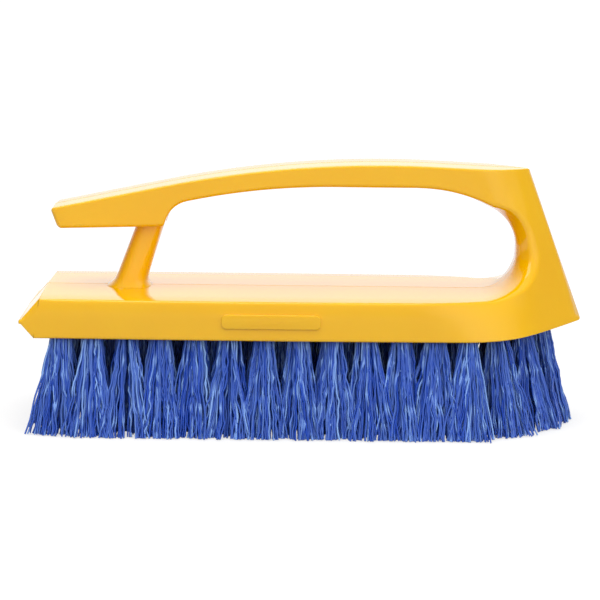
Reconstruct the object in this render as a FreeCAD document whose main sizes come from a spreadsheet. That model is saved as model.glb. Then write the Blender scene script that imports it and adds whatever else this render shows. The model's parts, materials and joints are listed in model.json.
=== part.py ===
"""Scrub brush with an iron-shaped handle, in millimetres.

The brush stands on its bristle tips. The origin is on that plane, under the middle of the brush.
+X points to the pointed toe, -X to the straight scraper edge, and +Z is up.
"""

import FreeCAD, Part
import math
import os

import Sketcher
from FreeCAD import Placement, Rotation, Vector

SIZES = {
    # Block
    "block_length": (152.4, "scraper edge to toe"),
    "block_width": (60.0, "widest, a little behind the middle"),
    "heel_width": (56.6, "at the scraper edge"),
    "widest_setback": (64.0, "scraper edge to the widest place"),
    "side_round": (1200.0, "radius of the sides in plan"),
    "block_thickness": (11.4, "underside to top, on the parting plane"),
    "draft_angle": (0.9, "mould draft to each side of the parting plane, degrees"),
    "scraper_height": (4.8, "scraper edge above the underside"),
    "scraper_bevel_top": (5.3, "length of the upper bevel along X"),
    "scraper_bevel_bottom": (3.9, "length of the lower bevel along X"),
    "scraper_land": (0.9, "height of the blunt scraper edge"),
    # Toe
    "toe_angle": (50.0, "toe facets to the X axis, in plan, degrees"),
    "toe_shoulder": (35.0, "radius from the sides into the toe facets"),
    "toe_rise": (3.0, "toe tip above the underside"),
    "toe_rise_length": (36.0, "length over which the underside rises"),
    "toe_sweep": (190.0, "radius of that rise"),
    "stem_lean": (20.0, "stem to the vertical, degrees"),
    "stem_round": (1.5, "radius of the stem edge, in plan"),
    # Handle and hand opening
    "handle_width": (22.0, "across"),
    "handle_thickness": (5.6, "of the sloping front of the handle"),
    "opening_height": (28.25, "block top to the crown of the opening"),
    "front_drop": (5.2, "fall of the opening from its crown to the post"),
    "crown_reach": (25.0, "post to the crown of the opening"),
    "crown_round": (190.0, "radius of the crown of the opening"),
    "handle_round": (300.0, "radius of the top of the handle"),
    "toe_thickness": (4.95, "handle over the crown's level, at the stem"),
    "toe_slope": (2.5, "fall of the handle's top towards the stem, degrees"),
    "web_setback": (18.3, "toe to the inner face of the web"),
    "web_height": (19.0, "block top to the haunch"),
    "haunch_angle": (26.0, "haunch to the X axis, degrees"),
    "haunch_round": (40.0, "radius from the haunch to the crown"),
    "web_top_round": (12.0, "radius from the web to the haunch"),
    "web_foot_round": (10.0, "radius from the block top to the web"),
    "web_flare": (12.0, "radius from the handle's sides to the block, across the web"),
    "web_foot": (1.2, "block top to the foot of that flare"),
    # Beak
    "beak_setback": (6.8, "scraper edge to the beak's front"),
    "beak_depth": (5.7, "height of the beak's front"),
    "beak_rake": (2.6, "slant of the beak's front, along X"),
    "beak_rise": (0.8, "rise of the beak's underside to the post"),
    "beak_round": (1.0, "radius of the beak's corners"),
    # Post
    "post_setback": (27.9, "scraper edge to the middle of the post's foot"),
    "post_length": (8.4, "thickness of the post at its foot"),
    "post_taper": (1.9, "draft of the post along its length, degrees"),
    "post_width": (14.0, "across"),
    "post_round": (3.9, "radius of the post's corners at its foot"),
    "post_lean": (18.8, "post to the vertical, degrees"),
    "post_corner": (8.0, "radius from the post to the opening"),
    "heel_lip": (0.3, "beak's heel past the post"),
    # Raised panel on the side of the block
    "panel_length": (26.4, "along X"),
    "panel_height": (3.9, "along Z"),
    "panel_setback": (67.3, "scraper edge to the middle of the panel"),
    "panel_depth": (0.4, "above the side"),
    "panel_round": (1.4, "radius of the panel's corners"),
    # Bristles
    "trim_length": (25.1, "bristles below the block"),
    "hole_width": (5.6, "tuft hole, across its flats"),
    "hole_depth": (7.5, "along the tuft"),
    "tuft_clearance": (0.06, "round a tuft in its hole"),
    "tuft_straight": (0.8, "straight bristles below the block, before they spread"),
    "tip_gap": (0.25, "half the gap between neighbouring tufts at the tips"),
    "ring_inset": (5.5, "side of the block to the outer tufts"),
    "heel_inset": (10.4, "scraper edge to the corner tufts"),
    "heel_step": (3.0, "corner tufts to the heel row, along X"),
    "toe_inset": (6.1, "toe facet to the toe tufts"),
    "toe_first": (6.0, "centre plane to the first toe tuft, along the facet"),
    "toe_pitch": (9.0, "between the toe tufts"),
    "ring_lean": (13.0, "outward lean of the outer tufts, degrees"),
    "ring_reach": (6.3, "half the depth of an outer tuft at its tip"),
    "corner_turn": (30.0, "turn of the corner tufts towards the heel, degrees"),
    "core_row": (9.0, "between the outer tufts and the next row"),
    "core_lean": (4.0, "outward lean of the inner tufts next to the outer ones, degrees"),
    "core_reach": (5.0, "half the width of an inner tuft at its tip"),
    # Anchor staples
    "staple_height": (1.6, "along the tuft"),
    "staple_thickness": (0.4, "across the tuft"),
    "staple_bite": (0.35, "into the wall of the hole, at each end"),
    "fold_thickness": (1.2, "folded bristles over the staple"),
}

SIDE_TUFTS = 13
TOE_TUFTS = 3
HEEL_TUFTS = 4
CORE_SIDE_TUFTS = 5
CORE_MIDDLE_TUFTS = 6

ROOM_FOR_ROUNDS = 0.98  # share of a side that the rounds at its two ends may take
OVERRUN = 10.0  # how far a cutting form runs past what it cuts
POST_SINK = 2.0  # how far the post runs into the block and the beak
HOLE_SIDES = 8

doc = FreeCAD.newDocument("scrub_brush")
sheet = doc.addObject("Spreadsheet::Sheet", "sizes")
for row, (alias, (value, meaning)) in enumerate(SIZES.items(), start=1):
    sheet.set(f"A{row}", alias)
    sheet.set(f"B{row}", str(value))
    sheet.set(f"C{row}", meaning)
    sheet.setAlias(f"B{row}", alias)
doc.recompute()


def size(alias):
    """The value of a driving dimension."""
    return float(sheet.get(alias))


def slope(alias):
    """The tangent of a driving angle."""
    return math.tan(math.radians(size(alias)))


def bind(item, **properties):
    """Tie properties of an object to expressions of the sheet."""
    for name, expression in properties.items():
        item.setExpression(name, expression)


def crossing(start, start_slope, end, end_slope):
    """The point where two lines meet, each given by a point and a slope."""
    x = (end[1] - start[1] + start_slope * start[0] - end_slope * end[0]) / (start_slope - end_slope)
    return x, start[1] + start_slope * (x - start[0])


def outline(name, placement, corners, straight=0.0):
    """A sketch of a closed outline through corners (x, y, alias of the corner's radius or None).

    Each radius is bound to its cell, but is limited where its sides are too short for it:
    a side keeps at least the given length straight.
    """
    sketch = doc.addObject("Sketcher::SketchObject", name)
    sketch.Placement = placement
    points = [Vector(x, y, 0) for x, y, _ in corners]
    following = points[1:] + points[:1]
    ways = [(end - start).normalize() for start, end in zip(points, following)]
    half_turns = [ways[i - 1].getAngle(ways[i]) / 2 for i in range(len(points))]
    radii = [size(alias) if alias else 0 for _, _, alias in corners]
    cuts = [radius * math.tan(turn) for radius, turn in zip(radii, half_turns)]
    shares = []
    for start, end, cut, next_cut in zip(points, following, cuts, cuts[1:] + cuts[:1]):
        room = max(ROOM_FOR_ROUNDS * start.distanceToPoint(end) - straight, 0)
        shares.append(room / max(cut + next_cut, room) if cut + next_cut else 1)
    pieces = []
    for i, point in enumerate(points):
        share = min(shares[i - 1], shares[i])
        start = point - ways[i - 1] * cuts[i] * share
        end = point + ways[i] * cuts[i] * share
        if radii[i]:
            radius = radii[i] * share
            inward = (ways[i] - ways[i - 1]).normalize()
            middle = point + inward * radius * (1 / math.cos(half_turns[i]) - 1)
            arc = sketch.addGeometry(Part.Arc(start, middle, end))
            index = sketch.addConstraint(Sketcher.Constraint("Radius", arc, radius))
            sketch.setExpression(f"Constraints[{index}]", f"sizes.{corners[i][2]} * {share}")
            forward = sketch.getPoint(arc, 1).isEqual(start, 1e-6)
            pieces.append((arc, 1, 2) if forward else (arc, 2, 1))
        last = (i + 1) % len(points)
        last_share = min(shares[last - 1], shares[last])
        line = Part.LineSegment(end, points[last] - ways[i] * cuts[last] * last_share)
        pieces.append((sketch.addGeometry(line), 1, 2))
    for one, other in zip(pieces, pieces[1:] + pieces[:1]):
        sketch.addConstraint(Sketcher.Constraint("Coincident", one[0], one[2], other[0], other[1]))
    return sketch


def extruded(name, sketch, direction, forward, backward):
    """A solid swept from an outline along a direction, both ways, by lengths given as expressions."""
    solid = doc.addObject("Part::Extrusion", name)
    solid.Base = sketch
    solid.DirMode = "Custom"
    solid.Dir = direction
    solid.Solid = True
    bind(solid, LengthFwd=forward, LengthRev=backward)
    return solid


def boolean(kind, name, base, tool):
    """A Part::Cut or Part::Common of two objects."""
    result = doc.addObject(kind, name)
    result.Base = base
    result.Tool = tool
    return result


def group(kind, name, items, items_property):
    """A compound or a fuse of several objects."""
    result = doc.addObject(kind, name)
    setattr(result, items_property, items)
    return result


# Levels and stations of the body
HALF = size("block_length") / 2
UNDERSIDE = size("trim_length")
TOP = UNDERSIDE + size("block_thickness")
CROWN = TOP + size("opening_height")
TOE_LEVEL = UNDERSIDE + size("toe_rise")
STEM_Z = CROWN + size("toe_thickness")
HAUNCH = (HALF - size("web_setback"), TOP + size("web_height"))
POST_FOOT = -HALF + size("post_setback")
TOE_ANGLE = math.radians(size("toe_angle"))
TOE_CORNER = HALF + size("stem_round") * (1 / math.sin(TOE_ANGLE) - 1)
ON_SIDE = Placement(Vector(), Rotation(Vector(1, 0, 0), 90))


def on_post_back(level):
    """The point of the beak's heel line, just past the post's edge towards the opening, at a level."""
    half = size("post_length") / 2 / math.cos(math.radians(size("post_lean")))
    edge_slope = math.tan(math.radians(size("post_lean") - size("post_taper")))
    return POST_FOOT + half + size("heel_lip") + edge_slope * (level - TOP), level


# Corners of the beak and the front of the opening
INCLINE = size("front_drop") / size("crown_reach")
OPENING_FRONT = on_post_back(CROWN - size("front_drop"))
BEAK_X = -HALF + size("beak_setback")
BEAK_THICKNESS = size("handle_thickness") * math.hypot(1, INCLINE)
BEAK_TOP = (BEAK_X, OPENING_FRONT[1] + BEAK_THICKNESS + INCLINE * (BEAK_X - OPENING_FRONT[0]))
BEAK_FOOT = (BEAK_X + size("beak_rake"), BEAK_TOP[1] - size("beak_depth"))
BEAK_HEEL = on_post_back(BEAK_FOOT[1] + size("beak_rise"))


def side_corners():
    """Corners of the body's section on the parting plane, without the post: block, web, handle and beak."""
    stem_top = (HALF - slope("stem_lean") * (STEM_Z - TOE_LEVEL), STEM_Z)
    return [
        (-HALF, UNDERSIDE + size("scraper_height") - size("scraper_land") / 2, None),
        (-HALF, UNDERSIDE + size("scraper_height") + size("scraper_land") / 2, None),
        (-HALF + size("scraper_bevel_top"), TOP, None),
        (HAUNCH[0], TOP, "web_foot_round"),
        (*HAUNCH, "web_top_round"),
        (*crossing(HAUNCH, -slope("haunch_angle"), (0, CROWN), 0), "haunch_round"),
        (OPENING_FRONT[0] + size("crown_reach"), CROWN, "crown_round"),
        (*OPENING_FRONT, "post_corner"),
        (*BEAK_HEEL, "beak_round"),
        (*BEAK_FOOT, "beak_round"),
        (*BEAK_TOP, "beak_round"),
        (*crossing(BEAK_TOP, INCLINE, stem_top, -slope("toe_slope")), "handle_round"),
        (*stem_top, None),
        (HALF, TOE_LEVEL, None),
        (HALF - size("toe_rise_length") / 2, UNDERSIDE, "toe_sweep"),
        (-HALF + size("scraper_bevel_bottom"), UNDERSIDE, None),
    ]


def plan_corners():
    """Corners of the block's plan at the level of the toe tip."""
    side_slope = (size("block_width") - size("heel_width")) / 2 / size("widest_setback")
    bow = size("side_round") * (math.hypot(1, side_slope) - 1)
    widest = (-HALF + size("widest_setback"), size("block_width") / 2 + bow)
    heel = (-HALF - OVERRUN, widest[1] - side_slope * (widest[0] + HALF + OVERRUN))
    shoulder = crossing(widest, -side_slope, (TOE_CORNER, 0), -math.tan(TOE_ANGLE))
    half = [(*shoulder, "toe_shoulder"), (*widest, "side_round"), (*heel, None)]
    return [(TOE_CORNER, 0, "stem_round"), *half, *((x, -y, alias) for x, y, alias in reversed(half))]


def make_shell():
    """The moulding without its post: the side section, drafted from the parting plane, within the plan."""
    half_width = "sizes.block_width / 2 + sizes.panel_depth"
    drawn_in = size("block_width") * slope("draft_angle")
    section = outline("side_section", ON_SIDE, side_corners(), straight=drawn_in)
    side = extruded("side_form", section, Vector(0, -1, 0), half_width, half_width)
    bind(side, TaperAngle="-sizes.draft_angle", TaperAngleRev="-sizes.draft_angle")
    plan = outline("plan", Placement(Vector(0, 0, TOE_LEVEL), Rotation()), plan_corners())
    stem = Vector(-slope("stem_lean"), 0, 1).normalize()
    up = "2 * (sizes.block_thickness + sizes.opening_height)"
    within = extruded("plan_form", plan, stem, up, "2 * sizes.block_thickness")
    whole = boolean("Part::Common", "full_width_form", side, within)
    return boolean("Part::Cut", "shell", whole, group("Part::Compound", "side_cuts", side_cuts(), "Links"))


def side_cuts():
    """Forms that narrow the handle to its width, with a flare down the web to the block."""
    half = size("handle_width") / 2
    far = size("block_width")
    high = STEM_Z + far
    low = TOP + size("web_foot")
    corners = [(half, high, None), (far, high, None), (far, low, None), (half, low, "web_flare")]
    along_x = Placement(Vector(-HALF - OVERRUN, 0, 0), Rotation(Vector(1, 1, 1), 120))
    cuts = []
    for side, sign in (("right", -1), ("left", 1)):
        section = outline(f"section_beside_handle_{side}", along_x, [(sign * y, z, r) for y, z, r in corners])
        length = f"sizes.block_length + {2 * OVERRUN}"
        cuts.append(extruded(f"room_beside_handle_{side}", section, Vector(1, 0, 0), length, "0"))
    return cuts


def make_post():
    """The post that leans from the block to the beak, sunk into both and drafted towards its head."""
    at_post = (POST_FOOT - BEAK_FOOT[0]) / (BEAK_HEEL[0] - BEAK_FOOT[0])
    head = BEAK_FOOT[1] + at_post * (BEAK_HEEL[1] - BEAK_FOOT[1])
    half_length = size("post_length") / 2
    half_width = size("post_width") / 2
    corners = [
        (along * half_length, across * half_width, "post_round")
        for along, across in ((-1, -1), (1, -1), (1, 1), (-1, 1))
    ]
    lean = Rotation(Vector(0, 1, 0), size("post_lean"))
    section = outline("post_section", Placement(Vector(POST_FOOT, 0, TOP), lean), corners)
    rise = 1 / math.cos(math.radians(size("post_lean")))
    reach = f"{(head - TOP + POST_SINK) * rise}"
    post = extruded("post", section, lean * Vector(0, 0, 1), reach, f"{POST_SINK * rise}")
    bind(post, TaperAngle="-sizes.post_taper", TaperAngleRev="sizes.post_taper")
    return post


def make_panel():
    """The raised blank panel on the right side of the block."""
    x = -HALF + size("panel_setback")
    z = UNDERSIDE + size("block_thickness") / 2
    half_length = size("panel_length") / 2
    half_height = size("panel_height") / 2
    corners = [
        (x + along * half_length, z + up * half_height, "panel_round")
        for along, up in ((-1, -1), (1, -1), (1, 1), (-1, 1))
    ]
    front = "sizes.block_width / 2 + sizes.panel_depth"
    return extruded("panel", outline("panel_outline", ON_SIDE, corners), Vector(0, -1, 0), front, "0")


def tuft_places():
    """Name, kind, x, y and outward direction in degrees of every tuft.

    The closest pitch of the outer tufts and the distance between the inner rows come with them.
    """
    corner_x = -HALF + size("heel_inset")
    ring_y = size("block_width") / 2 - size("ring_inset")
    toe_x = TOE_CORNER - size("toe_inset") / math.sin(TOE_ANGLE)
    toe_row = []
    for k in range(TOE_TUFTS):
        along = size("toe_first") + k * size("toe_pitch")
        x = toe_x - along * math.cos(TOE_ANGLE)
        toe_row.append((x, along * math.sin(TOE_ANGLE), 90 - size("toe_angle")))
    shoulder = toe_row[-1]
    toe_row[-1] = (shoulder[0], shoulder[1], 90 - size("toe_angle") / 2)
    side_pitch = (shoulder[0] - size("toe_pitch") - corner_x) / (SIDE_TUFTS - 1)
    side_row = [(corner_x, ring_y, 90 + size("corner_turn"))]
    side_row += [(corner_x + k * side_pitch, ring_y, 90) for k in range(1, SIDE_TUFTS)]
    places = []
    for side, sign in (("right", -1), ("left", 1)):
        for number, (x, y, way) in enumerate(side_row + toe_row[::-1], start=1):
            places.append((f"tuft_{side}_{number:02d}", "ring", x, sign * y, sign * way))
    heel_pitch = 2 * ring_y / (HEEL_TUFTS + 1)
    for k in range(HEEL_TUFTS):
        y = -ring_y + (k + 1) * heel_pitch
        places.append((f"tuft_heel_{k + 1}", "ring", corner_x + size("heel_step"), y, 180))
    side_y = ring_y - size("core_row")
    core_rows = {"core_side": (2.5, CORE_SIDE_TUFTS, side_y), "core_middle": (1.5, CORE_MIDDLE_TUFTS, side_y / 3)}
    number = 0
    for sign in (-1, 1):
        for kind, (first, count, y) in core_rows.items():
            for k in range(count):
                number += 1
                x = corner_x + (first + 2 * k) * side_pitch
                places.append((f"tuft_core_{number:02d}", kind, x, sign * y, 90 * sign))
    return places, min(side_pitch, heel_pitch, size("toe_pitch")), 2 * side_y / 3


def tuft_slab(name, turn, tip_half, reach, rake, depth):
    """A form that bounds a tuft on two sides: straight in its hole, then spreading to a lower end of some rake.

    The slab is tip_half from the hole's axis at the reach, and its end crosses the axis at the depth.
    """
    straight = size("tuft_straight")
    root_half = size("hole_width") / 2 - size("tuft_clearance")
    root_top = size("hole_depth") - size("tuft_clearance")
    spread = (tip_half - root_half) / (reach - straight)
    half = [(-root_half, root_top), (-root_half, -straight)]
    tips = []
    for side in (-1, 1):
        across = side * (root_half + spread * (depth - straight)) / (1 - side * spread * rake)
        tips.append((across, -depth - rake * across))
    points = half + tips + [(-x, z) for x, z in reversed(half)]
    about = Rotation(Vector(0, 0, 1), turn)
    upright = Placement(Vector(), about * Rotation(Vector(1, 0, 0), 90))
    section = outline(f"{name}_section", upright, [(x, z, None) for x, z in points])
    return extruded(name, section, about * Vector(0, 1, 0), "sizes.trim_length", "sizes.trim_length")


def make_tuft_form(kind, lean, half_x, half_y):
    """One tuft about its hole's axis: eight-sided, with a gap for its staple, cut level at the trim plane."""
    rake = math.tan(math.radians(lean))
    reach = UNDERSIDE / math.cos(math.radians(lean))
    past = reach + half_y * rake + OVERRUN
    half_diagonal = (half_y + half_x * (math.sqrt(2) - 1)) / math.sqrt(2)
    slabs = [
        tuft_slab(f"{kind}_outward", 90, half_y, reach, rake, reach),
        tuft_slab(f"{kind}_along", 0, half_x, reach, 0, past),
        tuft_slab(f"{kind}_diagonal", 45, half_diagonal, reach, 0, past),
        tuft_slab(f"{kind}_other_diagonal", 135, half_diagonal, reach, 0, past),
    ]
    bundle = group("Part::MultiCommon", f"{kind}_bundle", slabs, "Shapes")
    gap = make_staple(f"{kind}_fold_gap")
    gap.Placement = staple_place()
    return boolean("Part::Cut", f"{kind}_tuft", bundle, gap)


def make_staple(name):
    """A flat strip across a tuft's hole, under the fold of the bristles."""
    staple = doc.addObject("Part::Box", name)
    bind(
        staple,
        Length="sizes.hole_width + 2 * sizes.staple_bite",
        Width="sizes.staple_thickness",
        Height="sizes.staple_height",
    )
    return staple


def staple_place():
    """Where a staple lies in the frame of its tuft."""
    length = size("hole_width") + 2 * size("staple_bite")
    low = size("hole_depth") - size("fold_thickness") - size("staple_height")
    return Placement(Vector(-length / 2, -size("staple_thickness") / 2, low), Rotation())


def make_bristles():
    """All tufts, their holes and their staples."""
    places, pitch, row_gap = tuft_places()
    half_pitch = pitch / 2 - size("tip_gap")
    reach = size("core_reach")
    half_row = min(reach, row_gap / 2 - size("tip_gap") / 2)
    leans = {"ring": size("ring_lean"), "core_side": size("core_lean"), "core_middle": 0.0}
    forms = {
        "ring": make_tuft_form("ring", leans["ring"], half_pitch, size("ring_reach")),
        "core_side": make_tuft_form("core_side", leans["core_side"], reach, half_row),
        "core_middle": make_tuft_form("core_middle", 0.0, reach, half_row),
    }
    hole_corner = 0.5 / math.cos(math.pi / HOLE_SIDES)
    flats_along_axes = Rotation(Vector(0, 0, 1), 180 / HOLE_SIDES)
    tufts = []
    holes = []
    staples = []
    for name, kind, x, y, way in places:
        turn = Rotation(Vector(0, 0, 1), way - 90) * Rotation(Vector(1, 0, 0), leans[kind])
        place = Placement(Vector(x, y, UNDERSIDE), turn)
        tuft = doc.addObject("App::Link", name)
        tuft.LinkedObject = forms[kind]
        tuft.Placement = place
        tufts.append(tuft)
        hole = doc.addObject("Part::Prism", f"{name}_hole")
        hole.Polygon = HOLE_SIDES
        bind(hole, Circumradius=f"sizes.hole_width * {hole_corner}", Height="2 * sizes.hole_depth")
        hole.Placement = place * Placement(Vector(0, 0, -size("hole_depth")), flats_along_axes)
        holes.append(hole)
        staple = make_staple(f"{name}_staple")
        staple.Placement = place * staple_place()
        staples.append(staple)
    return tufts, holes, group("Part::Compound", "anchor_staples", staples, "Links")


def make_body(holes, staples):
    """The moulding: shell, post and panel, with the holes of the tufts, bitten by their staples."""
    moulding = group("Part::MultiFuse", "moulding", [make_shell(), make_post(), make_panel()], "Shapes")
    drilled = boolean("Part::Cut", "drilled", moulding, group("Part::Compound", "holes", holes, "Links"))
    return boolean("Part::Cut", "handle_block", drilled, staples)


def write_parts(parts):
    """Check every object of the document, then write each sub-part to its file."""
    for item in doc.Objects:
        if "Invalid" in item.State or "Error" in item.State:
            raise RuntimeError(f"{item.Label} did not build")
    for part in parts:
        if part.Shape.isNull() or not part.Shape.isValid():
            raise RuntimeError(f"{part.Label} has no valid shape")
    os.makedirs("parts", exist_ok=True)
    for part in parts:
        part.Shape.exportStep(f"parts/{part.Label}.step")


tufts, holes, staples = make_bristles()
block = make_body(holes, staples)
doc.recompute()
write_parts([block, staples, *tufts])
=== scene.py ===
# %% [markdown]
# # A scrub brush with a moulded handle
# The brush is one yellow moulding, a block with a handle like a flat iron's, and tufts of blue filaments.
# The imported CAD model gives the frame: every piece here is built in its millimetres and stays in its box.

# %% The frame
import json
import math
import random

import bmesh
import bpy
import numpy as np
from mathutils import Matrix, Vector

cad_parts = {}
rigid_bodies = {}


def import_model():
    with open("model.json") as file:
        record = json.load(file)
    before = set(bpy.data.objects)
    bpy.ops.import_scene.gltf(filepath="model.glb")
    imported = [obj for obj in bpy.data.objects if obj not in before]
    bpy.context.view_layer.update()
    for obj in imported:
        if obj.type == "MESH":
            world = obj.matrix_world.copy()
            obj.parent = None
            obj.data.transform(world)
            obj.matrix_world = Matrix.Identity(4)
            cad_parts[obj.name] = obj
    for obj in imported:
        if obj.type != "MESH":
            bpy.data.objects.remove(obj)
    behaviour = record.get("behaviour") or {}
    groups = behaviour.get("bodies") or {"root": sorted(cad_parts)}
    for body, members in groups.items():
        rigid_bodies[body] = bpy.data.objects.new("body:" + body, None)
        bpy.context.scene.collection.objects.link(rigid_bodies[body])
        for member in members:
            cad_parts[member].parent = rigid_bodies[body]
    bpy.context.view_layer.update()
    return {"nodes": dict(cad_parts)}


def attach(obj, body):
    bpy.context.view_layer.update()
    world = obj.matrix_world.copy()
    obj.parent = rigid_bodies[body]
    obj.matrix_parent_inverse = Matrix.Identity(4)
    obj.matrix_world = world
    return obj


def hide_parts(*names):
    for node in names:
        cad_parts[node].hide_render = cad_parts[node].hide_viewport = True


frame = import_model()
MM = 0.001

# %% [markdown]
# ## Colours and nodes
# Colours are written as sRGB hex, as a picture shows them, and Blender shades in linear light, so one
# function turns them round. A second function adds a node with its settings and its links, so a material
# reads as a list.


# %% Helpers for materials
def linear(code):
    """The linear colour of an sRGB hex code."""
    parts = [int(code[i:i + 2], 16) / 255 for i in (1, 3, 5)]
    return (*[p / 12.92 if p <= 0.04045 else ((p + 0.055) / 1.055) ** 2.4 for p in parts], 1)


def add(material, kind, links=None, **settings):
    """A node of a material, with values or sockets linked to its inputs by name or number."""
    node = material.node_tree.nodes.new(kind)
    for name, value in settings.items():
        setattr(node, name, value)
    for socket, value in (links or {}).items():
        if isinstance(value, bpy.types.NodeSocket):
            material.node_tree.links.new(value, node.inputs[socket])
        else:
            node.inputs[socket].default_value = value
    return node


def new_material(name):
    """An empty material and its output node."""
    material = bpy.data.materials.new(name)
    material.use_nodes = True
    material.node_tree.nodes.clear()
    return material, add(material, "ShaderNodeOutputMaterial")


# %% [markdown]
# ## Yellow polypropylene
# The body is polypropylene, moulded against a polished steel tool: a smooth, slightly waxy gloss that
# mirrors its surroundings at low angles. The pigment drifts a little with the flow of the melt, over some
# 30 mm, and the skin has a faint waviness, which bends the reflections.

# %% Yellow polypropylene
yellow, out = new_material("moulded_polypropylene_yellow")
at = add(yellow, "ShaderNodeTexCoord").outputs["Object"]
drift = add(yellow, "ShaderNodeTexNoise", {"Vector": at, "Scale": 1 / (30 * MM), "Detail": 2.0})
tint = add(yellow, "ShaderNodeValToRGB", {"Fac": drift.outputs["Fac"]})
tint.color_ramp.elements[0].position = 0.3
tint.color_ramp.elements[0].color = linear("#EFB401")
tint.color_ramp.elements[1].position = 0.7
tint.color_ramp.elements[1].color = linear("#F2BA02")
skin = add(yellow, "ShaderNodeTexNoise", {"Vector": at, "Scale": 1 / (6 * MM), "Detail": 1.0})
ripple = add(yellow, "ShaderNodeBump", {
    "Height": skin.outputs["Fac"], "Strength": 0.02, "Distance": 0.2 * MM})
gloss = add(yellow, "ShaderNodeMapRange", {"Value": drift.outputs["Fac"], "To Min": 0.05, "To Max": 0.08})
shader = add(yellow, "ShaderNodeBsdfPrincipled", {
    "Base Color": tint.outputs["Color"], "Roughness": gloss.outputs["Result"], "IOR": 1.47,
    "Normal": ripple.outputs["Normal"], "Subsurface Weight": 0.12, "Subsurface Scale": 1.5 * MM,
    "Subsurface Radius": (1.0, 0.55, 0.12)})
yellow.node_tree.links.new(shader.outputs["BSDF"], out.inputs["Surface"])
print("material", yellow.name)

# %% [markdown]
# ## The side of the body
# Seen from the side, the body is a C lying on its back: a beak, an arched handle, a toe and the block.
# Its inner line runs round the hand's opening and its outer line round the outside. Both are straight
# runs with round corners, so a path is a list of corners with a radius each.


# %% Paths with round corners
def path_points(corners, step=0.3):
    """Points along straight runs with round corners, each corner an (x, z, radius)."""
    points = [Vector(corners[0][:2])]
    for before, here, after in zip(corners, corners[1:], corners[2:]):
        corner = Vector(here[:2])
        back = (Vector(before[:2]) - corner).normalized()
        on = (Vector(after[:2]) - corner).normalized()
        half = back.angle(on) / 2
        centre = corner + (back + on).normalized() * (here[2] / math.sin(half))
        arm = corner + back * (here[2] / math.tan(half)) - centre
        turn = (math.pi - 2 * half) * (1 if back.cross(on) < 0 else -1)
        count = 2 + int(abs(turn) * here[2] / step)
        for k in range(count + 1):
            swing = Matrix.Rotation(turn * k / count, 2)
            points.append(centre + swing @ arm)
    points.append(Vector(corners[-1][:2]))
    dense = []
    for start, end in zip(points, points[1:]):
        count = 1 + int((end - start).length / step)
        dense += [start.lerp(end, k / count) for k in range(count)]
    return np.array([tuple(p) for p in dense + [points[-1]]])


inner_line = path_points([
    (-66.8, 52.74, 0), (-38.386, 53.54, 0.9), (-36.56, 59.55, 7.5), (-11.56, 64.75, 190),
    (38.935, 64.75, 40), (57.9, 55.5, 12), (57.9, 36.5, 10), (-70.9, 36.5, 0.35), (-76.2, 30.35, 0)])
outer_line = path_points([
    (-69.4, 58.44, 0), (-2.021, 72.454, 300), (61.059, 69.7, 0.7), (76.2, 28.1, 0.6), (58.2, 25.1, 185),
    (-72.3, 25.1, 0.35), (-76.2, 29.45, 0)])
print("inner line", len(inner_line), "points, outer line", len(outer_line))

# %% [markdown]
# ## How wide the body is
# From above, the block is a long bow with a pointed toe, like an iron's sole. The toe's two faces lean
# back with its edge, so the plan slides backwards as it rises. Above the block the handle is a strap 22
# mm wide, which flares to the block at its foot. A soft minimum of the two widths rounds the line where
# they meet, and the block's shoulder is rounder at its top than at its underside.

# %% Half-width at a place
LEAN = math.tan(math.radians(20))
TOE_FOOT_Z = 28.1
SOLE_Z, BLOCK_THICK = 25.1, 11.4
STRAP_HALF = 11
FLARE_Z, FLARE_RADIUS = 49.7, 12
STRAP_RELEASE = 40
SOFT, SOFT_FROM = 4.6, 8
plan_lines = []
for shoulder in (24, 46):
    line = path_points([(52.574, -28.703, 0), (76.658, 0, 1.5), (52.574, 28.703, shoulder),
                        (-12.2, 30.423, 1200), (-86.2, 28.458, 0)])
    plan_lines.append(line[line[:, 1] >= 0][::-1])


def half_width(x, z, strap):
    """Half the width of the body at a place, where strap tells how far the handle's own width counts."""
    plan_x = x + LEAN * (z - TOE_FOOT_Z)
    low, high = (float(np.interp(plan_x, line[:, 0], line[:, 1], right=0)) for line in plan_lines)
    sole = low + (high - low) * min(max((z - SOLE_Z) / BLOCK_THICK, 0), 1)
    rise = min(max(FLARE_Z - z, 0), FLARE_RADIUS)
    strap_half = STRAP_HALF + FLARE_RADIUS - math.sqrt(FLARE_RADIUS * FLARE_RADIUS - rise * rise)
    strap_half += (1 - strap) * STRAP_RELEASE
    soft = SOFT * min(1, sole / SOFT_FROM)
    return (sole + strap_half - math.hypot(sole - strap_half, soft)) / 2 if sole > 0 else 0.0


print("half-widths at heel, middle and toe:", [round(half_width(x, 30, 0), 2) for x in (-76, 0, 65)])

# %% [markdown]
# ## Sections along the body
# The body is lofted: at each station a point of the inner line is paired with one of the outer line, and
# the section between them goes from the middle, over the inner face, down the side and back over the
# outer face. The keys below pair the lines where the form changes, with the rounding of the inner and the
# outer edge and how far the strap's width counts there. Between two keys the stations are spread evenly.

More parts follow.
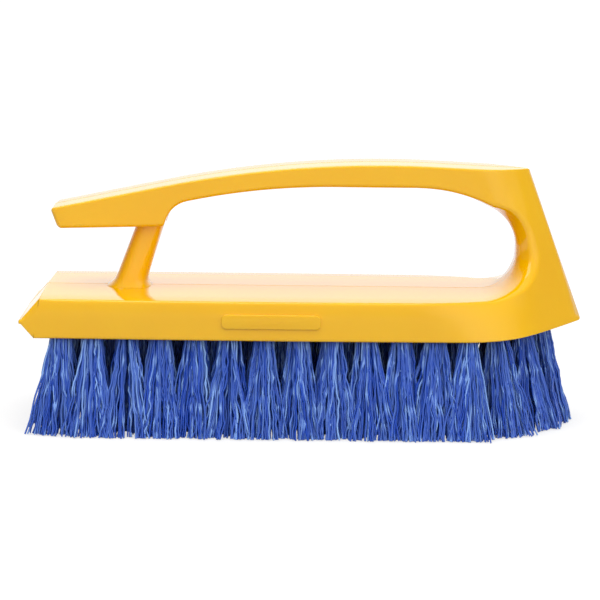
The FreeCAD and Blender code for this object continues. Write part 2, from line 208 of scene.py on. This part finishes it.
# %% Stations
KEYS = [  # inner point, outer point, inner and outer rounding, strap, stations to the next key
    ((-66.0, 52.76), (-68.2, 58.70), 0.9, 0.5, 1, 8),
    ((-40.5, 53.48), (-43.5, 63.80), 0.9, 0.5, 1, 5),
    ((-37.6, 56.10), (-39.5, 64.65), 0.9, 0.5, 1, 7),
    ((-31.0, 60.70), (-32.0, 66.10), 0.9, 0.5, 1, 9),
    ((-8.30, 64.10), (-9.30, 69.50), 0.9, 0.5, 1, 9),
    ((20.0, 64.75), (20.0, 71.05), 0.9, 0.5, 1, 8),
    ((36.0, 64.10), (35.0, 70.80), 0.9, 0.5, 1, 6),
    ((46.0, 61.20), (43.0, 70.45), 0.9, 0.5, 1, 6),
    ((51.0, 58.90), (50.0, 70.15), 1.0, 0.5, 1, 5),
    ((54.3, 56.70), (56.5, 69.85), 1.2, 0.4, 1, 4),
    ((56.2, 54.30), (60.6, 69.70), 1.5, 0.3, 0.97, 3),
    ((56.9, 52.80), (61.7, 68.00), 1.7, 0.1, 0.95, 5),
    ((57.8, 49.30), (64.8, 59.50), 2.0, 0.1, 0.8, 4),
    ((57.9, 46.50), (67.0, 53.30), 2.0, 0.1, 0.65, 4),
    ((57.3, 43.60), (69.3, 47.00), 2.0, 0.1, 0.5, 4),
    ((55.8, 40.60), (72.0, 39.60), 1.8, 0.1, 0.3, 4),
    ((53.0, 38.00), (74.4, 33.00), 1.5, 0.1, 0.1, 5),
    ((50.0, 36.80), (76.0, 28.50), 1.3, 0.1, 0, 3),
    ((48.6, 36.54), (75.2, 27.93), 1.1, 0.2, 0, 6),
    ((45.0, 36.50), (66.0, 26.30), 0.9, 0.5, 0, 6),
    ((40.0, 36.50), (52.0, 25.15), 0.9, 0.6, 0, 5),
    ((30.0, 36.50), (32.0, 25.10), 0.9, 0.6, 0, 8),
    ((-12.0, 36.50), (-12.0, 25.10), 0.9, 0.6, 0, 10),
    ((-66.0, 36.50), (-67.0, 25.10), 0.8, 0.6, 0, 4),
    ((-70.2, 36.50), (-71.6, 25.10), 0.4, 0.35, 0, 2),
    ((-70.9, 36.40), (-72.3, 25.20), 0.35, 0.3, 0, 2),
    ((-71.4, 35.92), (-72.7, 25.55), 0.35, 0.3, 0, 5),
    ((-75.85, 30.76), (-75.85, 29.06), 0.3, 0.3, 0, 1),
]
DRAFT = math.tan(math.radians(0.9))


def place_on(line, point):
    """The index of the point of a line nearest to a given one."""
    return float(np.argmin(np.hypot(line[:, 0] - point[0], line[:, 1] - point[1])))


def point_on(line, place, inward):
    """A point of a line, and its direction into the plastic."""
    index = np.arange(len(line))
    x, z = (np.interp(place, index, line[:, axis]) for axis in (0, 1))
    ahead, behind = (line[min(max(round(place + step), 0), len(line) - 1)] for step in (1, -1))
    along = Vector(ahead - behind).normalized()
    return Vector((x, z)), Vector((-along.y, along.x)) * inward


def stations():
    """Points, inward directions, roundings and strap of every section from the beak to the scraper."""
    marks = [(place_on(inner_line, key[0]), place_on(outer_line, key[1]), *key[2:]) for key in KEYS]
    rows = []
    for one, other in zip(marks, marks[1:]):
        rows += [[a + (b - a) * k / one[5] for a, b in zip(one[:5], other[:5])] for k in range(one[5])]
    rows.append(list(marks[-1][:5]))
    return [(*point_on(inner_line, r[0], 1), *point_on(outer_line, r[1], -1), *r[2:]) for r in rows]


rows = stations()
print(len(rows), "stations")


# %% [markdown]
# ## One section
# The mould opens sideways, so every face falls away from the parting plane by 0.9 degrees of draft. Where
# the two halves of the mould meet, a hair of plastic is left standing: the parting line along the middle,
# with flat runs beside it that keep the shading of the ridge narrow. Each edge is a true arc, written as
# a weighted Bezier curve between its two tangent points. Inside the toe stem the edge is bevelled, by up
# to 4.8 mm.

# %% Points of a section
ARC = 5
SIDE = 14
PARTING_RIDGE = 0.07
BESIDE_RIDGE = ((0.2, 0.3), (0.45, 0.5))
WEB_SLANT, WEB_KNEE = 4.8, 0.6
CROWN, CROWNED = 0.5, 0.5
FACE_SHARE, SIDE_SHARE = 0.95, 0.45


def arc_points(start, corner, end):
    """Points of the round arc from start to end that is tangent to the lines from both to a corner."""
    bend = math.sin((start - corner).angle(end - corner, math.pi) / 2)
    points = []
    for k in range(ARC + 1):
        t = k / ARC
        weights = ((1 - t) ** 2, 2 * bend * t * (1 - t), t * t)
        points.append((start * weights[0] + corner * weights[1] + end * weights[2]) / sum(weights))
    return points


def section(row):
    """Points of half a section, in mm, from the middle of the inner face to that of the outer face."""
    inner, inner_in, outer, outer_in, inner_round, outer_round, strap = row
    edges = []
    for point, into in ((inner, inner_in), (outer, outer_in)):
        half = half_width(point.x, point.y, strap)
        edges.append(point + into * half * DRAFT)

    def on_side(t):
        place = edges[0].lerp(edges[1], t)
        half = half_width(place.x, place.y, strap)
        crown = CROWN * max(1 - t / CROWNED, 0) ** 2 * min(half / 20, 1) * (1 - strap)
        return Vector((place.x, half - crown, place.y))

    depth = (edges[1] - edges[0]).length
    faces = []
    ends = ((0, 1, inner, inner_in, inner_round), (1, -1, outer, outer_in, outer_round))
    for t, step, point, into, radius in ends:
        middle = Vector((point.x, 0, point.y))
        web = max(into.x, 0) ** 2 if t == 0 and point.x > 0 else 0
        slant = min(WEB_SLANT * web / depth, 0.4)
        corner = on_side(t + slant)
        width = corner.y
        knee = middle + Vector((0, WEB_KNEE * web * width, 0))
        to_middle = (knee - corner).normalized() if width > 0 else Vector((0, -1, 0))
        aside = (on_side(t + slant + step * min(0.2, 1.0 / depth)) - corner).normalized()
        reach = radius / math.tan(max(to_middle.angle(aside), 0.2) / 2)
        reach = min(reach, FACE_SHARE * width)
        on_face = corner + to_middle * reach
        off = slant + min(reach, SIDE_SHARE * depth) / depth
        arc = arc_points(on_face, corner, on_side(t + step * off))
        ridge = Vector((into.x, 0, into.y)) * -min(PARTING_RIDGE, width * 0.02)
        flat = middle.lerp(on_face, 0.5).lerp(knee, min(1, 3 * web))
        beside = [middle.lerp(flat, min(gap / max(flat.y, gap), most)) for gap, most in BESIDE_RIDGE]
        faces.append((off, [middle + ridge, *beside, flat, flat.lerp(on_face, 0.4), *arc]))
    (start, one), (stop, other) = faces
    between = [on_side(start + (1 - stop - start) * k / SIDE) for k in range(1, SIDE)]
    return one + between + other[::-1]


print("points in half a section:", len(section(rows[0])))

# %% [markdown]
# ## The body's skin
# A flat grid has one row of vertices for each station, and bending it into the sections makes the skin
# without a list of faces. At both ends a few more rows round the edge over and close it, as on the real
# beak and scraper. The half is then mirrored over the parting plane, and the doubles along it are merged.


# %% Rounded ends
def end_rows(last, before, radius, slope, count=6):
    """Rows that round an end over and close it, from the slope of its faces in degrees."""
    centre = (last[0] + last[-1]) / 2
    centre.y = 0
    outward = (centre - ((before[0] + before[-1]) / 2)).normalized()
    outward.y = 0
    across = max((last[0] - last[-1]).length / 2, 0.1)
    width = max(p.y for p in last)
    up = (last[-1] - last[0]).normalized()
    rows_out = []
    first = math.radians(slope)
    steps = [(first + (math.pi / 2 - first) * k / count, 1) for k in range(1, count + 1)]
    steps += [(math.radians(90), left) for left in (0.7, 0.35, 0.0)]
    for angle, left in steps:
        inset = radius * (math.cos(first) - math.cos(angle))
        stand = radius * (math.sin(angle) - math.sin(first))
        ring = []
        for p in last:
            high = (p - centre).dot(up)
            flat = Vector((centre.x, p.y * left * (1 - inset / width), centre.z))
            ring.append(flat + up * high * left * (1 - inset / across) + outward * stand)
        rows_out.append(ring)
    return rows_out


sections = [section(row) for row in rows]
beak_end = end_rows(sections[0], sections[3], 1.2, 0)
scraper_end = end_rows(sections[-1], sections[-3], 1.1, 45)
sections = beak_end[::-1] + sections + scraper_end
print(len(sections), "rows of", len(sections[0]), "points")


# %% Bending the grid
def finish_mesh(bm, name, materials):
    """A mesh object from a bmesh in mm, smooth, at the origin."""
    bmesh.ops.scale(bm, vec=(MM, MM, MM), verts=bm.verts)
    mesh = bpy.data.meshes.new(name)
    bm.to_mesh(mesh)
    bm.free()
    mesh.shade_smooth()
    piece = bpy.data.objects.new(name, mesh)
    bpy.context.scene.collection.objects.link(piece)
    for material in materials:
        mesh.materials.append(material)
    return piece


body = bmesh.new()
count, points = len(sections), len(sections[0])
bmesh.ops.create_grid(body, x_segments=count - 1, y_segments=points - 1, size=0.5)
for v in body.verts:
    row = round((v.co.x + 0.5) * (count - 1))
    column = round((v.co.y + 0.5) * (points - 1))
    v.co = sections[row][column]
for v in body.verts:
    if v.co.y < 0.001:
        v.co.y = 0
bmesh.ops.mirror(body, geom=body.verts[:] + body.edges[:] + body.faces[:], axis="Y", merge_dist=0.002)
bmesh.ops.remove_doubles(body, verts=body.verts, dist=0.004)
bmesh.ops.dissolve_degenerate(body, edges=body.edges, dist=0.003)
bmesh.ops.recalc_face_normals(body, faces=body.faces)
print("body skin:", len(body.verts), "vertices,", len(body.faces), "faces,",
      sum(not e.is_manifold for e in body.edges), "open edges")

# %% [markdown]
# ## The post
# A post carries the beak. It leans 18.8 degrees, has an oblong section with round sides, thins towards
# its head for the mould, and flares where it meets the block and the beak, because a sharp inner corner
# would crack. A circle is pressed to that section and extruded up in steps, each one scaled to its level.

# %% Post
POST_FOOT = Vector((-48.3, 0, 36.5))
POST_LEAN = math.radians(18.8)
POST_HEIGHT = 18.3
FOOT_FLARE, BURIED = 3.6, 0.6
HEAD_FLARE = 1.4
POST_TAPER = math.tan(math.radians(1.9))
POST_SQUARE = 3.0
half_long, half_across = 4.2, 7.0
ring = bmesh.ops.create_circle(body, segments=64, radius=1)["verts"]
for v in ring:
    angle = math.atan2(v.co.y, v.co.x)
    powers = abs(math.cos(angle)) ** POST_SQUARE + abs(math.sin(angle)) ** POST_SQUARE
    stretch = powers ** (-1 / POST_SQUARE)
    v.co = Vector((half_long * math.cos(angle) * stretch, half_across * math.sin(angle) * stretch, 0))


def flare(height, radius):
    """How far a round inner corner stands out at a height over its foot."""
    short = max(radius - height, 0)
    return radius - math.sqrt(radius * radius - short * short)


post_edges = list({e for v in ring for e in v.link_edges})
post_rings = [ring]
levels = [-0.6, 0.0, 0.12, 0.35, 0.7, 1.1, 1.6, 2.2, 4, 7, 10, 13, 15.5, 16.6, 17.2, 17.6, 17.9, 18.1,
          18.3, 18.9]
for _ in levels[1:]:
    made = bmesh.ops.extrude_edge_only(body, edges=post_edges)["geom"]
    post_rings.append([g for g in made if isinstance(g, bmesh.types.BMVert)])
    post_edges = [g for g in made if isinstance(g, bmesh.types.BMEdge)]
for level, verts in zip(levels, post_rings):
    thinner = POST_TAPER * max(level, 0)
    foot = flare(max(level, 0) + BURIED, FOOT_FLARE)
    head = flare(max(POST_HEIGHT - level, 0), HEAD_FLARE)
    for v in verts:
        end = v.co.x / half_long
        v.co.x *= (half_long + foot - thinner) / half_long
        v.co.x -= head * max(-end, 0)
        v.co.y *= (half_across + 0.3 * foot - thinner) / half_across
        v.co.x = v.co.x / math.cos(POST_LEAN) + level * math.tan(POST_LEAN)
        v.co.z = level
    bmesh.ops.translate(body, vec=POST_FOOT, verts=verts)
for verts in (post_rings[0], post_rings[-1]):
    cap = {e for v in verts for e in v.link_edges if all(end in verts for end in e.verts)}
    bmesh.ops.contextual_create(body, geom=list(cap))
print("post:", len(post_rings), "rings,", sum(not e.is_manifold for e in body.edges), "open edges")

# %% [markdown]
# ## The blank panel
# A low oblong panel stands on the right side of the block. It is a small plate: a cube stretched to its
# size, its corners rounded and its front edge broken.

# %% Panel
PANEL_SIZE = (26.4, 1.0, 3.9)
PANEL_AT = (-8.9, -29.9, 30.8)
PANEL_CORNER, PANEL_EDGE = 1.3, 0.25
plate = bmesh.new()
bmesh.ops.create_cube(plate, size=1)
bmesh.ops.scale(plate, vec=PANEL_SIZE, verts=plate.verts)
ends = [e for e in plate.edges if abs(e.verts[0].co.y - e.verts[1].co.y) > 0.5]
bmesh.ops.bevel(plate, geom=ends, offset=PANEL_CORNER, offset_type="OFFSET", affect="EDGES", segments=6,
                profile=0.5, material=-1)
rim = [e for e in plate.edges if all(v.co.y < -0.4 for v in e.verts)]
bmesh.ops.bevel(plate, geom=rim, offset=PANEL_EDGE, offset_type="OFFSET", affect="EDGES", segments=3,
                profile=0.5, material=-1)
bmesh.ops.translate(plate, vec=PANEL_AT, verts=plate.verts)
plate_mesh = bpy.data.meshes.new("panel")
plate.to_mesh(plate_mesh)
plate.free()
body.from_mesh(plate_mesh)
print("panel:", len(plate_mesh.polygons), "faces")
handle_piece = finish_mesh(body, "moulded_handle_block", [yellow])
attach(handle_piece, "root")
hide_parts("handle_block")
print("moulded body:", len(handle_piece.data.polygons), "faces")

# %% [markdown]
# ## Blue filaments
# The bristles are polypropylene filaments, some 0.5 mm thick, drawn and crimped into a gentle wave so
# that they stand apart and hold water. Their sides shine in streaks, and about one filament in nine is
# also painted pale blue, a painted highlight for those streaks. The trimmed tips are paler, scuffed by
# the cut. A number stored on each filament shifts its blue a little, and lifts the painted highlights.

# %% Blue polypropylene filament
blue, out = new_material("drawn_polypropylene_filament_blue")
shade = add(blue, "ShaderNodeAttribute", attribute_name="shade")
tone = add(blue, "ShaderNodeValToRGB", {"Fac": shade.outputs["Fac"]})
tone.color_ramp.elements[0].color = linear("#1245B4")
# The light end of the ramp is the pale blue of the painted highlights.
tone.color_ramp.elements[1].color = linear("#8FB8F5")
shader = add(blue, "ShaderNodeBsdfPrincipled", {
    "Base Color": tone.outputs["Color"], "Roughness": 0.2, "IOR": 1.45})
blue.node_tree.links.new(shader.outputs["BSDF"], out.inputs["Surface"])
print("material", blue.name)

# %% [markdown]
# ## Tufts
# Each tuft is a bundle folded over a flat staple and driven into a blind hole, so it leaves the block as
# a tight bundle 5.5 mm thick and fans out to its trimmed tip. The outer tufts lean outwards. A filament
# is a curve with a round bevel, because a curve needs only the points of its line. All curves of a row
# become one mesh. Each tuft is made of locks, and every filament follows one of them, with a little
# chance of its own.

# %% Places of the tufts
TRIM = 25.1
PITCH = 9.1724
CORNER_X = -65.8
SIDE_Y, SIDE_LEAN = 24.5, 13.5
TOE_TUFTS = [(52.0, 19.2, 65, 12), (59.053, 11.491, 40, 10), (64.6, 3.4, 15, 7)]


def side_places(side, sign):
    """Name, x, y, outward angle and lean in degrees of one side's outer tufts, from heel to toe."""
    line = [(CORNER_X + 0.8, SIDE_Y, 100, 9)]
    line += [(CORNER_X + PITCH * k, SIDE_Y, 90, SIDE_LEAN) for k in range(1, 13)] + TOE_TUFTS
    return [(f"{side}_{n:02d}", x, sign * y, sign * angle, lean)
            for n, (x, y, angle, lean) in enumerate(line, start=1)]


def core_places():
    """The inner tufts: on each side a row next to the outer tufts and one near the middle."""
    inner_rows = ((2.5, 5, 15.5), (1.5, 6, 5.167))
    line = [(CORNER_X + PITCH * (first + 2 * k), sign * y, 90 * sign, 2)
            for sign in (-1, 1) for first, count, y in inner_rows for k in range(count)]
    return [(f"core_{n:02d}", *place) for n, place in enumerate(line, start=1)]


right, left, core = side_places("right", -1), side_places("left", 1), core_places()
HEEL_X, HEEL_PITCH = -62.8, 9.8
heel = [(f"heel_{n}", HEEL_X, -14.7 + HEEL_PITCH * (n - 1), 180, SIDE_LEAN) for n in range(1, 5)]
print(len(right), len(left), len(heel), len(core), "tufts")

# %% One filament
FILAMENT = 0.5
STEPS = 14
ROOT = 2.75
OUTWARD = 0.55
STRAYS = 0.1
CRIMP = 0.17
SINK = 0.8


def bundle_lock(chance, half_x, half_y, lean):
    """A lock of a tuft: where it leaves the hole, where its tip goes, and its wave."""
    turn = chance.uniform(0, 2 * math.pi)
    reach = math.sqrt(chance.random())
    root = Vector((math.cos(turn), math.sin(turn))) * reach
    square = reach / max(abs(math.cos(turn)), abs(math.sin(turn)))
    outward = math.sin(turn) * square
    spread = math.copysign(abs(outward) ** OUTWARD, outward)
    tip = Vector((math.cos(turn) * square * half_x, spread * half_y))
    tip += Vector((chance.gauss(0, 0.5), math.tan(math.radians(lean)) * TRIM))
    if chance.random() < STRAYS:
        tip.x += chance.choice((-1, 1)) * chance.uniform(2, 5)
    return root * ROOT, tip, chance.uniform(9, 14), chance.uniform(0, 6.3), chance.uniform(0, 6.3)


def filament_line(chance, lock, x, y, angle):
    """Points of one filament in mm, from inside the block to the trim line."""
    root, tip, wave, phase, way = lock
    root = root + Vector((chance.gauss(0, 0.3), chance.gauss(0, 0.3)))
    root *= min(1, ROOT / max(root.length, 0.001))
    tip = tip + Vector((chance.gauss(0, 0.9), chance.gauss(0, 0.25)))
    sway = Vector((math.cos(way), math.sin(way))) * chance.uniform(0.15, 0.45)
    crimp = Vector((chance.gauss(0, CRIMP), chance.gauss(0, CRIMP)))
    pitch, offset = chance.uniform(4.2, 6.5), chance.uniform(0, 6.3)
    end = chance.uniform(0.16, 0.36)
    turn = Matrix.Rotation(math.radians(angle - 90), 2)
    points = []
    for k in range(STEPS):
        t = k / (STEPS - 1)
        z = TRIM + SINK - (TRIM + SINK - end) * t
        p = root.lerp(tip, t * (0.95 + 0.05 * t))
        p += sway * min(1, 3 * t) * math.sin(2 * math.pi * z / wave + phase)
        p += crimp * min(1, 6 * t) * math.sin(2 * math.pi * z / pitch + offset)
        points.append(Vector((x, y, z)) + (turn @ p).to_3d())
    return points


# %% Filaments of a row
LOCKS = 44
# The share of filaments painted pale, a painted highlight for the streaks of shine.
PAINTED_GLINT_SHARE = 0.11
TIP_SHADE = 0.8


def filament_row(name, places, number, half_x, half_y, seed):
    """One mesh with all the filaments of some tufts."""
    chance = random.Random(seed)
    curve = bpy.data.curves.new(name, "CURVE")
    curve.dimensions = "3D"
    curve.bevel_depth = FILAMENT / 2 * MM
    curve.bevel_resolution = 0
    curve.use_fill_caps = True
    shades = []
    for _, x, y, angle, lean in places:
        locks = [bundle_lock(chance, half_x, half_y, lean) for _ in range(LOCKS)]
        for n in range(number):
            line = filament_line(chance, locks[n % len(locks)], x, y, angle)
            spline = curve.splines.new("POLY")
            spline.points.add(len(line) - 1)
            thick = chance.uniform(0.85, 1.15)
            for point, place in zip(spline.points, line):
                point.co = (*(place * MM), 1)
                point.radius = thick
            # Painted highlight: some filaments get a pale shade that stands in for streaks of light on the
            # crimps.
            painted_glint = chance.random() < PAINTED_GLINT_SHARE
            shades.append(chance.uniform(0.5, 1.0) if painted_glint else min(max(chance.gauss(0.14, 0.09), 0), 1))
    holder = bpy.data.objects.new(name + "_lines", curve)
    mesh = bpy.data.meshes.new_from_object(holder)
    bpy.data.objects.remove(holder)
    mesh.name = name
    mesh.shade_smooth()
    each = len(mesh.vertices) // len(shades)
    values = np.repeat(shades, each).reshape(len(shades), each)
    values[:, -4:] = TIP_SHADE
    mesh.attributes.new("shade", "FLOAT", "POINT").data.foreach_set("value", values.ravel())
    mesh.materials.clear()
    mesh.materials.append(blue)
    piece = bpy.data.objects.new(name, mesh)
    bpy.context.scene.collection.objects.link(piece)
    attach(piece, "root")
    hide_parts(*["tuft_" + place[0] for place in places])
    print(name, len(shades), "filaments,", len(mesh.polygons), "faces,", each, "points each")
    return piece


filament_row("bristles_right_heel", right[:8], 175, 5.6, 5.6, 11)
filament_row("bristles_right_toe", right[8:], 175, 6.3, 5.6, 12)
filament_row("bristles_left_heel", left[:8], 140, 5.6, 5.6, 13)
filament_row("bristles_left_toe", left[8:], 150, 6.3, 5.6, 14)
filament_row("bristles_heel", heel, 140, 5.6, 5.6, 15)
filament_row("bristles_core_right", core[:11], 110, 6.4, 5.4, 16)
filament_row("bristles_core_left", core[11:], 110, 6.4, 5.4, 17)

# %% [markdown]
# ## Staples
# The staples sit out of sight at the bottom of the holes. They stay as the CAD model has them, in steel
# strip.

# %% Steel strip
steel, out = new_material("flattened_steel_strip")
at = add(steel, "ShaderNodeTexCoord").outputs["Object"]
rub = add(steel, "ShaderNodeTexNoise", {"Vector": at, "Scale": 1 / (0.5 * MM), "Detail": 3.0})
dull = add(steel, "ShaderNodeMapRange", {"Value": rub.outputs["Fac"], "To Min": 0.25, "To Max": 0.45})
shader = add(steel, "ShaderNodeBsdfPrincipled", {
    "Base Color": linear("#B9B7B2"), "Metallic": 1.0, "Roughness": dull.outputs["Result"]})
steel.node_tree.links.new(shader.outputs["BSDF"], out.inputs["Surface"])
staples = frame["nodes"]["anchor_staples"]
staples.data.materials.clear()
staples.data.materials.append(steel)
print("material", steel.name)

# %% [markdown]
# ## Floor, light and camera
# The brush stands on a white table under soft studio light. The floor shows its own light to the camera
# and to reflections, a little more of it with distance, so it reads as white, while its diffuse part
# keeps the shadow under the bristles. The room is brighter behind the brush, dim at both ends, and has a
# large window of light at the right front, which lays a soft streak on the block's shoulder and on the
# toe. The fill lamp is left out of the reflections, so that it draws no hard edge on the gloss.

# %% Floor
paper, out = new_material("white_paper_sweep")
rays = add(paper, "ShaderNodeLightPath").outputs
seen = add(paper, "ShaderNodeMath", {
    0: rays["Is Camera Ray"], 1: rays["Is Glossy Ray"]}, operation="MAXIMUM")
seen = add(paper, "ShaderNodeMath", {
    0: seen.outputs[0], 1: rays["Is Transmission Ray"]}, operation="MAXIMUM")
at = add(paper, "ShaderNodeTexCoord").outputs["Object"]
off = add(paper, "ShaderNodeVectorMath", {0: at}, operation="LENGTH")
far = add(paper, "ShaderNodeMapRange", {
    "Value": off.outputs["Value"], "From Min": 150 * MM, "From Max": 900 * MM,
    "To Min": 0.64, "To Max": 0.78})
glow = add(paper, "ShaderNodeMath", {0: seen.outputs[0], 1: far.outputs["Result"]}, operation="MULTIPLY")
shader = add(paper, "ShaderNodeBsdfPrincipled", {
    "Base Color": linear("#A0A0A0"), "Roughness": 0.9, "Emission Color": (1, 1, 1, 1),
    "Emission Strength": glow.outputs[0], "Specular IOR Level": 0.0})
paper.node_tree.links.new(shader.outputs["BSDF"], out.inputs["Surface"])
floor_mesh = bmesh.new()
bmesh.ops.create_grid(floor_mesh, x_segments=1, y_segments=1, size=12000)
floor = finish_mesh(floor_mesh, "white_table", [paper])
print("floor", floor.name)

# %% Studio light
FRONT_LEVEL, BACK_LEVEL, LEFT_LEVEL, RIGHT_LEVEL = 0.78, 1.0, 0.2, 0.4
world = bpy.data.worlds.new("white_studio")
world.use_nodes = True
world.node_tree.nodes.clear()
bpy.context.scene.world = world
direction = add(world, "ShaderNodeTexCoord").outputs["Generated"]
way = add(world, "ShaderNodeSeparateXYZ", {0: direction})
level = add(world, "ShaderNodeMapRange", {
    "Value": way.outputs["Y"], "From Min": 0.0, "From Max": 0.9,
    "To Min": FRONT_LEVEL, "To Max": BACK_LEVEL})
right_end = add(world, "ShaderNodeMapRange", {
    "Value": way.outputs["X"], "From Min": 0.4, "From Max": 0.9, "To Min": 1.0, "To Max": RIGHT_LEVEL})
left_end = add(world, "ShaderNodeMapRange", {
    "Value": way.outputs["X"], "From Min": -0.9, "From Max": -0.4, "To Min": LEFT_LEVEL, "To Max": 1.0})
ends = add(world, "ShaderNodeMath", {0: right_end.outputs[0], 1: left_end.outputs[0]}, operation="MULTIPLY")
rise = add(world, "ShaderNodeMapRange", {
    "Value": way.outputs["Z"], "From Min": 0.04, "From Max": 0.13, "To Min": 1.02, "To Max": 1.25})
level = add(world, "ShaderNodeMath", {
    0: level.outputs["Result"], 1: rise.outputs["Result"]}, operation="MULTIPLY")
sweep = add(world, "ShaderNodeMapRange", {
    "Value": way.outputs["Z"], "From Min": 0.0, "From Max": 0.4, "To Min": 1.0, "To Max": 0.2})
level = add(world, "ShaderNodeMath", {0: level.outputs[0], 1: sweep.outputs["Result"]}, operation="MAXIMUM")
level = add(world, "ShaderNodeMath", {0: level.outputs[0], 1: ends.outputs[0]}, operation="MULTIPLY")
towards = add(world, "ShaderNodeVectorMath", {
    0: direction, 1: (0.77, -0.62, 0.15)}, operation="DOT_PRODUCT")
window = add(world, "ShaderNodeMapRange", {
    "Value": towards.outputs["Value"], "From Min": 0.72, "From Max": 0.97, "To Min": 0.0, "To Max": 0.9})
level = add(world, "ShaderNodeMath", {0: level.outputs[0], 1: window.outputs["Result"]}, operation="ADD")
sky = add(world, "ShaderNodeBackground", {"Color": (1, 1, 1, 1), "Strength": level.outputs[0]})
add(world, "ShaderNodeOutputWorld", {"Surface": sky.outputs["Background"]})


def softbox(name, place, target, size, power, mirrored):
    """A square lamp in mm that faces a point, and tells whether gloss mirrors it."""
    lamp = bpy.data.lights.new(name, "AREA")
    lamp.size = size * MM
    lamp.energy = power
    holder = bpy.data.objects.new(name, lamp)
    holder.location = Vector(place) * MM
    holder.rotation_euler = (Vector(target) - Vector(place)).to_track_quat("-Z", "Y").to_euler()
    holder.visible_camera = False
    holder.visible_glossy = mirrored
    bpy.context.scene.collection.objects.link(holder)


softbox("key_softbox", (-200, -150, 1000), (0, 0, 30), 700, 3.8, True)
softbox("fill_softbox", (50, -900, 450), (0, 0, 30), 1200, 2.9, False)

# %% Camera
ELEVATION, DISTANCE, ROLL = math.radians(8.3), 0.75, math.radians(0.65)
lens = bpy.data.cameras.new("photo_camera")
lens.sensor_width = 36
lens.lens = 163.1
lens.clip_end = 20
camera = bpy.data.objects.new("photo_camera", lens)
target = Vector((-1.3, 0, 32.5)) * MM
away = Vector((0, -math.cos(ELEVATION), math.sin(ELEVATION))) * DISTANCE
camera.location = target + away
camera.rotation_euler = ((-away).to_track_quat("-Z", "Y").to_matrix()
                         @ Matrix.Rotation(ROLL, 3, "Z")).to_euler()
bpy.context.scene.collection.objects.link(camera)
bpy.context.scene.camera = camera
bpy.context.scene.view_settings.view_transform = "Standard"
print("camera at", [round(v / MM, 1) for v in camera.location])
